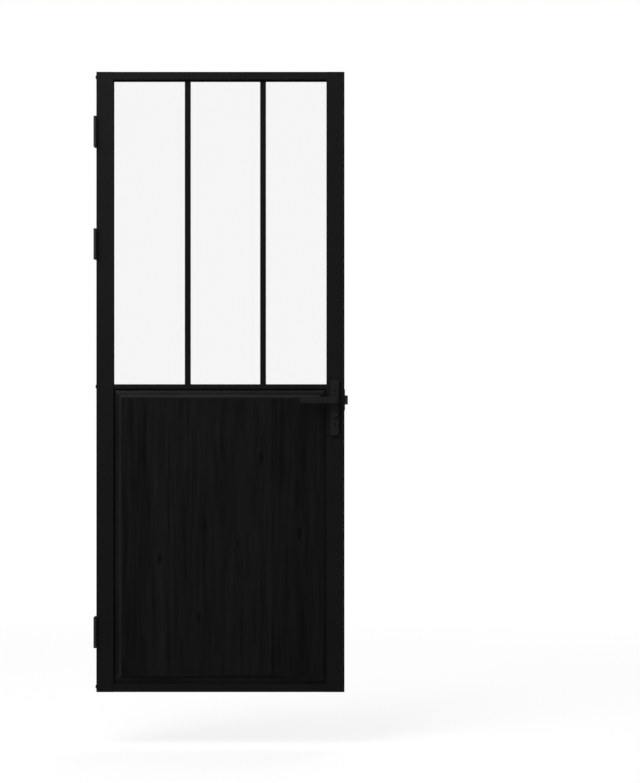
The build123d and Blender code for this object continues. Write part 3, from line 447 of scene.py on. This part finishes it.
def tempered_float_glass(tint):
    """Clear float glass, tempered on rollers: nothing but a slight neutral loss shows through it, and its
    reflections wander by the long roller wave. Lamps shine straight through it."""
    material, tree, place = blank_material("tempered_float_glass")
    stretch = add(
        tree,
        "ShaderNodeMapping",
        values={"Scale": [per_mm(size) for size in ROLLER_WAVE_MM]},
        links={"Vector": place},
    )
    wave = add(tree, "ShaderNodeTexNoise", values={"Scale": 1.0, "Detail": 0.0}, links={"Vector": stretch})
    tone = add(
        tree,
        "ShaderNodeMix",
        {"data_type": "RGBA"},
        {MIX_A: toned(tint, 0.996), MIX_B: tint},
        {MIX_FACTOR: wave},
    ).outputs[MIX_COLOUR]
    bump = add(tree, "ShaderNodeBump", values={"Strength": 0.04, "Distance": 0.0005}, links={"Height": wave})
    shader = add(
        tree,
        "ShaderNodeBsdfPrincipled",
        values={"Roughness": 0.0, "IOR": 1.52, "Transmission Weight": 1.0},
        links={"Base Color": tone, "Normal": bump},
    )
    lit_through = add(tree, "ShaderNodeBsdfTransparent", links={"Color": tone})
    shadow_ray = add(tree, "ShaderNodeLightPath").outputs["Is Shadow Ray"]
    both = add(tree, "ShaderNodeMixShader", links={0: shadow_ray, 1: shader, 2: lit_through})
    add(tree, "ShaderNodeOutputMaterial", links={"Surface": both})
    return material


def extruded_rubber(colour):
    """Extruded black EPDM: dull and slightly dusty, with die lines that are finer on the real gasket and
    are drawn at 1.5 mm so that they show."""
    material, tree, place = blank_material("extruded_rubber")
    lines = add(
        tree,
        "ShaderNodeTexNoise",
        values={"Scale": per_mm(DIE_LINE_MM), "Detail": 2.0},
        links={"Vector": place},
    )
    tone = add(
        tree,
        "ShaderNodeMix",
        {"data_type": "RGBA"},
        {MIX_A: colour, MIX_B: toned(colour, 1.5)},
        {MIX_FACTOR: lines},
    )
    bump = add(
        tree, "ShaderNodeBump", values={"Strength": 0.15, "Distance": 0.0002}, links={"Height": lines}
    )
    shader = add(
        tree,
        "ShaderNodeBsdfPrincipled",
        values={"Roughness": 0.85, "IOR": 1.5, "Specular IOR Level": 0.2},
        links={"Base Color": tone.outputs[MIX_COLOUR], "Normal": bump},
    )
    add(tree, "ShaderNodeOutputMaterial", links={"Surface": shader})
    return material


def moulded_plastic(colour):
    """Injection-moulded black polypropylene: soft and matt, with the spark-eroded grain of its mould, which
    is finer on the real piece and is drawn at 1.2 mm so that it shows."""
    material, tree, place = blank_material("moulded_plastic")
    grain = add(
        tree,
        "ShaderNodeTexVoronoi",
        {"feature": "SMOOTH_F1"},
        {"Scale": per_mm(MOULD_GRAIN_MM)},
        {"Vector": place},
    ).outputs["Distance"]
    tone = add(
        tree,
        "ShaderNodeMix",
        {"data_type": "RGBA"},
        {MIX_A: colour, MIX_B: toned(colour, 1.35)},
        {MIX_FACTOR: grain},
    )
    bump = add(
        tree, "ShaderNodeBump", values={"Strength": 0.12, "Distance": 0.0002}, links={"Height": grain}
    )
    shader = add(
        tree,
        "ShaderNodeBsdfPrincipled",
        values={"Roughness": 0.6, "IOR": 1.49, "Specular IOR Level": 0.3},
        links={"Base Color": tone.outputs[MIX_COLOUR], "Normal": bump},
    )
    add(tree, "ShaderNodeOutputMaterial", links={"Surface": shader})
    return material


def black_coated_metal(name, colour, roughness, sheen, grain_mm):
    """Pressed, drawn or cast metal under a thin black coat: smoother than the powder coat, so edges and
    rounds catch a brighter line, and the metal's own grain still shows faintly. That grain is a fraction
    of a millimetre on the real pieces and is drawn at grain_mm so that it shows."""
    material, tree, place = blank_material(name)
    grain = add(
        tree,
        "ShaderNodeTexNoise",
        values={"Scale": per_mm(grain_mm), "Detail": 3.0},
        links={"Vector": place},
    )
    tone = add(
        tree,
        "ShaderNodeMix",
        {"data_type": "RGBA"},
        {MIX_A: toned(colour, 0.85), MIX_B: toned(colour, 1.2)},
        {MIX_FACTOR: grain},
    )
    gloss = add(
        tree,
        "ShaderNodeMapRange",
        values={"To Min": roughness - 0.06, "To Max": roughness + 0.06},
        links={"Value": grain},
    )
    bump = add(
        tree, "ShaderNodeBump", values={"Strength": 0.08, "Distance": 0.0001}, links={"Height": grain}
    )
    shader = add(
        tree,
        "ShaderNodeBsdfPrincipled",
        values={"IOR": 1.5, "Specular IOR Level": sheen},
        links={"Base Color": tone.outputs[MIX_COLOUR], "Roughness": gloss, "Normal": bump},
    )
    add(tree, "ShaderNodeOutputMaterial", links={"Surface": shader})
    return material


def zinc_plated_steel(colour):
    """Drawn steel under bright zinc plate: a pale grey metal whose drawn lines spread its reflections. The
    lines are finer on the real pieces and are drawn at 1.2 mm so that they show."""
    material, tree, place = blank_material("zinc_plated_steel")
    stretch = add(
        tree,
        "ShaderNodeMapping",
        values={"Scale": [per_mm(size) for size in DRAWN_LINE_MM]},
        links={"Vector": place},
    )
    lines = add(tree, "ShaderNodeTexNoise", values={"Scale": 1.0, "Detail": 3.0}, links={"Vector": stretch})
    tone = add(
        tree,
        "ShaderNodeMix",
        {"data_type": "RGBA"},
        {MIX_A: toned(colour, 0.85), MIX_B: colour},
        {MIX_FACTOR: lines},
    )
    gloss = add(tree, "ShaderNodeMapRange", values={"To Min": 0.31, "To Max": 0.45}, links={"Value": lines})
    bump = add(
        tree, "ShaderNodeBump", values={"Strength": 0.06, "Distance": 0.0001}, links={"Height": lines}
    )
    shader = add(
        tree,
        "ShaderNodeBsdfPrincipled",
        values={"Metallic": 1.0},
        links={"Base Color": tone.outputs[MIX_COLOUR], "Roughness": gloss, "Normal": bump},
    )
    add(tree, "ShaderNodeOutputMaterial", links={"Surface": shader})
    return material


def studio_floor():
    """Pale seamless floor: white to the camera and through the glass, with the object's shadow kept, and
    fading into the white backdrop away from the object."""
    material, tree, place = blank_material("studio_floor")
    reach = add(tree, "ShaderNodeVectorMath", {"operation": "LENGTH"}, links={0: place}).outputs["Value"]
    fade = add(
        tree,
        "ShaderNodeMapRange",
        {"interpolation_type": "SMOOTHSTEP"},
        {"From Min": FLOOR_FADE[0], "From Max": FLOOR_FADE[1]},
        {"Value": reach},
    )
    share = add(tree, "ShaderNodeMapRange", values={"To Min": FLOOR_GLOW}, links={"Value": fade})
    lift = add(tree, "ShaderNodeMath", {"operation": "MULTIPLY"}, links={0: seen_by_camera(tree), 1: share})
    matt = add(tree, "ShaderNodeBsdfDiffuse", values={"Color": linear(FLOOR_HEX)})
    white = add(tree, "ShaderNodeEmission", values={"Color": WHITE, "Strength": FLOOR_WHITE})
    both = add(tree, "ShaderNodeMixShader", links={0: lift, 1: matt, 2: white})
    add(tree, "ShaderNodeOutputMaterial", links={"Surface": both})
    return material


def coat(material, *names):
    """Puts a material on CAD nodes that keep their own shape."""
    for name in names:
        NODES[name].material_slots[0].material = material


def eased_copy(node, material, arris, segments, curved=False, sharp_from=SHARP_ANGLE):
    """A merged copy of a CAD node with its sharp edges eased, which stands for the node. A curved one is
    shaded smooth up to its creases; otherwise only the eased strips are."""
    mesh = bpy.data.meshes.new(f"{node}_eased")
    shape = bmesh.new()
    shape.from_mesh(NODES[node].data)
    bmesh.ops.remove_doubles(shape, verts=shape.verts, dist=MERGE_DISTANCE)
    bmesh.ops.dissolve_limit(shape, angle_limit=FLAT_ANGLE, verts=shape.verts, edges=shape.edges)
    sharp = [edge for edge in shape.edges if edge.is_manifold and edge.calc_face_angle() > sharp_from]
    strips = bmesh.ops.bevel(
        shape,
        geom=sharp,
        offset=arris,
        offset_type="OFFSET",
        affect="EDGES",
        segments=segments,
        profile=0.5,
        material=-1,
        clamp_overlap=True,
    )["faces"]
    for face in shape.faces:
        face.smooth = curved
    for face in strips:
        face.smooth = True
    bmesh.ops.triangulate(shape, faces=shape.faces)
    shape.to_mesh(mesh)
    shape.free()
    mesh.attributes.remove(mesh.attributes["custom_normal"])
    if curved:
        mesh.set_sharp_from_angle(angle=CREASE_ANGLE)
    piece = bpy.data.objects.new(f"{node}_eased", mesh)
    bpy.context.scene.collection.objects.link(piece)
    piece.data.materials.append(material)
    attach(piece, BODY_OF[node])
    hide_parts(node)


class DoorFinishes(PropertyGroup):
    """Colours of the door's finishes."""

    coat: FloatVectorProperty(
        name="Frame coat",
        description="Powder coat on the stiles and rails",
        default=linear("#151515"),
        **COLOUR,
    )
    bar_coat: FloatVectorProperty(
        name="Bar coat",
        description="Powder coat on the glazing bars, a shade deeper than the frame's",
        default=linear("#121212"),
        **COLOUR,
    )
    wood_dark: FloatVectorProperty(
        name="Panel, dark grain",
        description="Darkest tone of the stained panel",
        default=linear("#0b0b0b"),
        **COLOUR,
    )
    wood_light: FloatVectorProperty(
        name="Panel, light grain",
        description="Lightest tone of the stained panel",
        default=linear("#191919"),
        **COLOUR,
    )
    glass: FloatVectorProperty(
        name="Glass",
        description="What is left of white light behind a pane",
        default=linear("#ffffff"),
        **COLOUR,
    )
    rubber: FloatVectorProperty(
        name="Gasket",
        description="Rubber round the panes",
        default=linear("#0c0c0c"),
        **COLOUR,
    )
    plastic: FloatVectorProperty(
        name="Caps and bushes",
        description="Plastic of the stile caps and lever bushes",
        default=linear("#141414"),
        **COLOUR,
    )
    steel_coat: FloatVectorProperty(
        name="Hinges and faceplate",
        description="Black coat on the hinges and the latch faceplate",
        default=linear("#282828"),
        **COLOUR,
    )
    screw: FloatVectorProperty(
        name="Screws",
        description="Black oxide on the screws, bolts and sleeves",
        default=linear("#131313"),
        **COLOUR,
    )
    latch: FloatVectorProperty(
        name="Latch bolt",
        description="Worn coat on the latch bolt",
        default=linear("#3a3a3a"),
        **COLOUR,
    )
    handle: FloatVectorProperty(
        name="Handles",
        description="Black coat on the levers and their plates",
        default=linear("#1d1d1d"),
        **COLOUR,
    )
    zinc: FloatVectorProperty(
        name="Lock works",
        description="Zinc plate on the lock's case and inner pieces",
        default=linear("#9a9da1"),
        **COLOUR,
    )
    cylinder: FloatVectorProperty(
        name="Key cylinder",
        description="Black coat on the key cylinder",
        default=linear("#232323"),
        **COLOUR,
    )


class DoorEdges(PropertyGroup):
    """Widths of the eased edges."""

    panel: FloatProperty(
        name="Panel arris",
        description="Width of the sanded edges of the raised panel",
        default=0.0008,
        **ARRIS,
    )
    glass: FloatProperty(
        name="Glass arris",
        description="Width of the ground edges of a pane",
        default=0.0005,
        **ARRIS,
    )
    rubber: FloatProperty(
        name="Gasket round",
        description="Width of the rounded edges of the gaskets",
        default=0.0006,
        **ARRIS,
    )
    metal: FloatProperty(
        name="Metal and cap arris",
        description="Width of the edges of hinges, latch, cylinder and stile caps",
        default=0.0003,
        **ARRIS,
    )
    steps: IntProperty(
        name="Steps",
        description="Facets across an eased edge; a pane always has one",
        default=2,
        min=1,
        max=6,
    )


class DoorStudio(PropertyGroup):
    """Camera, lamps and floor."""

    distance: FloatProperty(
        name="Camera distance",
        description="From the camera to the front face of the leaf",
        default=8.0,
        min=1.0,
        unit="LENGTH",
    )
    key_power: FloatProperty(
        name="Key lamp",
        description="Power of the far lamp at the upper left, which casts the shadows",
        default=190.0,
        **LAMP_POWER,
    )
    key_size: FloatProperty(
        name="Key size",
        description="Side of the key lamp",
        default=4.5,
        **LAMP_SIZE,
    )
    top_power: FloatProperty(
        name="Top lamp",
        description="Power of the near lamp over the head of the door",
        default=67.0,
        **LAMP_POWER,
    )
    top_size: FloatProperty(
        name="Top size",
        description="Side of the top lamp",
        default=2.0,
        **LAMP_SIZE,
    )
    rear_power: FloatProperty(
        name="Rear lamp",
        description="Power of the soft lamp behind the door",
        default=100.0,
        **LAMP_POWER,
    )
    rear_size: FloatProperty(
        name="Rear size",
        description="Side of the rear lamp",
        default=3.0,
        **LAMP_SIZE,
    )
    ambient: FloatProperty(
        name="Room light",
        description="Even light from the room",
        default=0.62,
        min=0.0,
        max=2.0,
    )
    floor_drop: FloatProperty(
        name="Floor drop",
        description="From the bottom edge of the hung leaf down to the floor",
        default=0.18,
        min=0.0,
        unit="LENGTH",
    )
    floor_size: FloatProperty(
        name="Floor size",
        description="Side of the floor",
        default=80.0,
        min=1.0,
        unit="LENGTH",
    )


class DOOR_OT_coat_frame(Operator):
    """Coats the stiles, rails and glazing bars"""

    bl_idname = "door.coat_frame"
    bl_label = "Coat frame"

    def execute(self, context):
        finishes = context.scene.door_finishes
        coat(powder_coated_aluminium("powder_coated_aluminium", tuple(finishes.coat)), *FRAME_NODES)
        coat(powder_coated_aluminium("powder_coated_bar", tuple(finishes.bar_coat)), "glazing_bars")
        return {"FINISHED"}


class DOOR_OT_stain_panel(Operator):
    """Eases and stains the raised panel"""

    bl_idname = "door.stain_panel"
    bl_label = "Stain panel"

    def execute(self, context):
        finishes, edges = context.scene.door_finishes, context.scene.door_edges
        wood = black_stained_softwood(tuple(finishes.wood_dark), tuple(finishes.wood_light))
        eased_copy("raised_panel", wood, edges.panel, edges.steps, sharp_from=PANEL_SHARP_ANGLE)
        return {"FINISHED"}


class DOOR_OT_glaze(Operator):
    """Glazes the upper openings: panes and gaskets"""

    bl_idname = "door.glaze"
    bl_label = "Glaze"

    def execute(self, context):
        finishes, edges = context.scene.door_finishes, context.scene.door_edges
        glass = tempered_float_glass(tuple(finishes.glass))
        rubber = extruded_rubber(tuple(finishes.rubber))
        for node in PANE_NODES:
            eased_copy(node, glass, edges.glass, segments=1)
        for node in GASKET_NODES:
            eased_copy(node, rubber, edges.rubber, edges.steps)
        return {"FINISHED"}


class DOOR_OT_fit_caps(Operator):
    """Finishes the plastic pieces: stile caps and lever bushes"""

    bl_idname = "door.fit_caps"
    bl_label = "Fit caps"

    def execute(self, context):
        finishes, edges = context.scene.door_finishes, context.scene.door_edges
        plastic = moulded_plastic(tuple(finishes.plastic))
        for node in CAP_NODES:
            eased_copy(node, plastic, edges.metal, edges.steps)
        coat(plastic, "lever_bushes")
        return {"FINISHED"}


class DOOR_OT_finish_hinges(Operator):
    """Finishes the hinge leaves and their pins"""

    bl_idname = "door.finish_hinges"
    bl_label = "Finish hinges"

    def execute(self, context):
        finishes, edges = context.scene.door_finishes, context.scene.door_edges
        steel = black_coated_metal(
            "coated_hinge_steel", tuple(finishes.steel_coat), roughness=0.40, sheen=0.35, grain_mm=3.0
        )
        for node in HINGE_LEAF_NODES:
            eased_copy(node, steel, edges.metal, edges.steps, curved=True)
        coat(steel, "hinge_pins")
        return {"FINISHED"}


class DOOR_OT_finish_screws(Operator):
    """Finishes every screw, bolt and sleeve"""

    bl_idname = "door.finish_screws"
    bl_label = "Finish screws"

    def execute(self, context):
        colour = tuple(context.scene.door_finishes.screw)
        steel = black_coated_metal(
            "black_oxide_screw_steel", colour, roughness=0.40, sheen=0.15, grain_mm=1.5
        )
        coat(steel, *SCREW_NODES)
        return {"FINISHED"}


class DOOR_OT_finish_lock(Operator):
    """Finishes the lock's case, its works, the latch and the faceplate"""

    bl_idname = "door.finish_lock"
    bl_label = "Finish lock"

    def execute(self, context):
        finishes, edges = context.scene.door_finishes, context.scene.door_edges
        zinc = zinc_plated_steel(tuple(finishes.zinc))
        coat(zinc, *LOCK_NODES)
        self.wind_spring(context.scene, zinc)
        steel = black_coated_metal(
            "coated_faceplate_steel", tuple(finishes.steel_coat), roughness=0.36, sheen=0.35, grain_mm=2.0
        )
        eased_copy("latch_faceplate", steel, edges.metal, edges.steps, curved=True)
        worn = black_coated_metal(
            "worn_latch_steel", tuple(finishes.latch), roughness=0.34, sheen=0.40, grain_mm=2.0
        )
        eased_copy("latch_bolt", worn, edges.metal, edges.steps, curved=True)
        return {"FINISHED"}

    def wind_spring(self, scene, zinc):
        """A copy of the latch spring, in zinc, that rides with the latch spring's body and stands for it."""
        spring = bpy.data.objects.new("latch_spring_coil", NODES["latch_spring"].data.copy())
        scene.collection.objects.link(spring)
        spring.data.materials.clear()
        spring.data.materials.append(zinc)
        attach(spring, BODY_OF["latch_spring"])
        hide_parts("latch_spring")
        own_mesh(spring)


class DOOR_OT_finish_cylinder(Operator):
    """Finishes the key cylinder and its plugs"""

    bl_idname = "door.finish_cylinder"
    bl_label = "Finish cylinder"

    def execute(self, context):
        finishes, edges = context.scene.door_finishes, context.scene.door_edges
        brass = black_coated_metal(
            "black_coated_brass", tuple(finishes.cylinder), roughness=0.44, sheen=0.12, grain_mm=0.8
        )
        for node in CYLINDER_NODES:
            eased_copy(node, brass, edges.metal, edges.steps, curved=True)
        return {"FINISHED"}


class DOOR_OT_finish_handles(Operator):
    """Finishes the levers and their plates"""

    bl_idname = "door.finish_handles"
    bl_label = "Finish handles"

    def execute(self, context):
        colour = tuple(context.scene.door_finishes.handle)
        zinc = black_coated_metal("coated_handle_zinc", colour, roughness=0.42, sheen=0.18, grain_mm=2.5)
        coat(zinc, *HANDLE_NODES)
        return {"FINISHED"}


class DOOR_OT_set_stage(Operator):
    """Sets the floor, the lamps, the white backdrop and the camera"""

    bl_idname = "door.set_stage"
    bl_label = "Set stage"

    def execute(self, context):
        scene, studio = context.scene, context.scene.door_studio
        self.lay_floor(scene, studio)
        self.hang_lamps(scene, studio)
        self.paint_world(scene, studio)
        self.place_camera(scene, studio)
        scene.view_settings.view_transform = "Standard"
        return {"FINISHED"}

    def lay_floor(self, scene, studio):
        """A wide sheet below the hung leaf, out of sight of mirrored and bounced rays."""
        mesh = bpy.data.meshes.new("floor")
        sheet = bmesh.new()
        bmesh.ops.create_grid(sheet, x_segments=1, y_segments=1, size=studio.floor_size / 2)
        bmesh.ops.translate(sheet, verts=sheet.verts, vec=(0.0, 0.0, CAD_LOW.z - studio.floor_drop))
        sheet.to_mesh(mesh)
        sheet.free()
        floor = bpy.data.objects.new("floor", mesh)
        scene.collection.objects.link(floor)
        floor.data.materials.append(studio_floor())
        floor.visible_glossy = False
        floor.visible_diffuse = False

    def hang_lamps(self, scene, studio):
        """Square soft lamps that face the middle of the door and are not seen themselves."""
        middle = (CAD_LOW + CAD_HIGH) / 2
        lamps = (
            ("key_lamp", KEY_PLACE, studio.key_power, studio.key_size),
            ("top_lamp", TOP_PLACE, studio.top_power, studio.top_size),
            ("rear_lamp", REAR_PLACE, studio.rear_power, studio.rear_size),
        )
        for name, place, power, size in lamps:
            data = bpy.data.lights.new(name, "AREA")
            data.energy = power
            data.size = size
            lamp = bpy.data.objects.new(name, data)
            lamp.location = place
            lamp.rotation_euler = (middle - lamp.location).to_track_quat("-Z", "Y").to_euler()
            lamp.visible_camera = False
            lamp.visible_glossy = False
            lamp.visible_transmission = False
            scene.collection.objects.link(lamp)

    def paint_world(self, scene, studio):
        """White behind the door, an even room light on it, and a bright backdrop at the upper left for its
        surfaces to mirror; light that has left a glossy surface meets only a dim room."""
        world = bpy.data.worlds.new("studio")
        scene.world = world
        world.use_nodes = True
        tree = world.node_tree
        tree.nodes.clear()
        ray = add(tree, "ShaderNodeLightPath").outputs
        way = add(tree, "ShaderNodeTexCoord").outputs["Generated"]
        upper_left = add(
            tree, "ShaderNodeVectorMath", {"operation": "DOT_PRODUCT"}, {1: BACKDROP_WAY}, {0: way}
        ).outputs["Value"]
        backdrop = add(
            tree,
            "ShaderNodeMapRange",
            {"interpolation_type": "SMOOTHSTEP"},
            {"From Min": BACKDROP_FADE[0], "From Max": BACKDROP_FADE[1]},
            {"Value": upper_left},
        )
        mirrored = add(
            tree, "ShaderNodeMath", {"operation": "MULTIPLY"}, links={0: ray["Is Glossy Ray"], 1: backdrop}
        )
        seen = add(
            tree,
            "ShaderNodeMath",
            {"operation": "ADD", "use_clamp": True},
            links={0: mirrored, 1: seen_by_camera(tree)},
        )
        height = add(tree, "ShaderNodeSeparateXYZ", links={"Vector": way}).outputs["Z"]
        strength = add(
            tree,
            "ShaderNodeMapRange",
            {"interpolation_type": "SMOOTHSTEP"},
            {
                "From Min": ROOM_FADE[0],
                "From Max": ROOM_FADE[1],
                "To Min": ROOM_BELOW,
                "To Max": studio.ambient,
            },
            {"Value": height},
        )
        room = add(tree, "ShaderNodeBackground", values={"Color": WHITE}, links={"Strength": strength})
        dim = add(tree, "ShaderNodeBackground", values={"Color": WHITE, "Strength": ROOM_MIRRORED})
        white = add(tree, "ShaderNodeBackground", values={"Color": WHITE, "Strength": 1.0})
        light = add(tree, "ShaderNodeMixShader", links={0: ray["Glossy Depth"], 1: room, 2: dim})
        both = add(tree, "ShaderNodeMixShader", links={0: seen, 1: light, 2: white})
        add(tree, "ShaderNodeOutputWorld", links={"Surface": both})

    def place_camera(self, scene, studio):
        """A level camera that looks square at the leaf and frames it as the photograph does."""
        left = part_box("hinge_stile")[0]
        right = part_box("lock_stile")[1]
        to_m = MM_PER_PX / 1000.0
        centre_x = (left.x + right.x) / 2
        centre_z = (CAD_LOW.z + CAD_HIGH.z) / 2
        data = bpy.data.cameras.new("camera")
        data.sensor_width = SENSOR_MM
        data.lens = SENSOR_MM * studio.distance / (PHOTO_H * to_m)
        data.clip_end = CLIP_END
        camera = bpy.data.objects.new("camera", data)
        camera.location = (
            centre_x + (PHOTO_W / 2 - LEAF_CENTRE_PX[0]) * to_m,
            left.y - studio.distance,
            centre_z + (LEAF_CENTRE_PX[1] - PHOTO_H / 2) * to_m,
        )
        camera.rotation_euler = (math.radians(90), 0.0, 0.0)
        scene.collection.objects.link(camera)
        scene.camera = camera


PIECE_OPERATORS = (
    DOOR_OT_coat_frame,
    DOOR_OT_stain_panel,
    DOOR_OT_glaze,
    DOOR_OT_fit_caps,
    DOOR_OT_finish_hinges,
    DOOR_OT_finish_screws,
    DOOR_OT_finish_lock,
    DOOR_OT_finish_cylinder,
    DOOR_OT_finish_handles,
    DOOR_OT_set_stage,
)


class DOOR_PT_sidebar(Panel):
    """Lists the door's steps and settings"""

    bl_idname = "DOOR_PT_sidebar"
    bl_label = "Glazed door"
    bl_space_type = "VIEW_3D"
    bl_region_type = "UI"
    bl_category = "Door"

    def draw(self, context):
        for operator in PIECE_OPERATORS:
            self.layout.operator(operator.bl_idname)
        for settings in ("door_finishes", "door_edges", "door_studio"):
            group = getattr(context.scene, settings)
            box = self.layout.box()
            for name in group.__annotations__:
                box.prop(group, name)


CLASSES = (DoorFinishes, DoorEdges, DoorStudio, *PIECE_OPERATORS, DOOR_PT_sidebar)


def register():
    """Registers the classes and hangs the settings on the scene."""
    for cls in CLASSES:
        bpy.utils.register_class(cls)
    bpy.types.Scene.door_finishes = PointerProperty(type=DoorFinishes)
    bpy.types.Scene.door_edges = PointerProperty(type=DoorEdges)
    bpy.types.Scene.door_studio = PointerProperty(type=DoorStudio)


def unregister():
    """Takes the settings off the scene and unregisters the classes."""
    del bpy.types.Scene.door_studio
    del bpy.types.Scene.door_edges
    del bpy.types.Scene.door_finishes
    for cls in reversed(CLASSES):
        bpy.utils.unregister_class(cls)


def main():
    """Runs every step in order."""
    register()
    bpy.ops.door.coat_frame()
    bpy.ops.door.stain_panel()
    bpy.ops.door.glaze()
    bpy.ops.door.fit_caps()
    bpy.ops.door.finish_hinges()
    bpy.ops.door.finish_screws()
    bpy.ops.door.finish_lock()
    bpy.ops.door.finish_cylinder()
    bpy.ops.door.finish_handles()
    bpy.ops.door.set_stage()


if __name__ == "__main__":
    main()
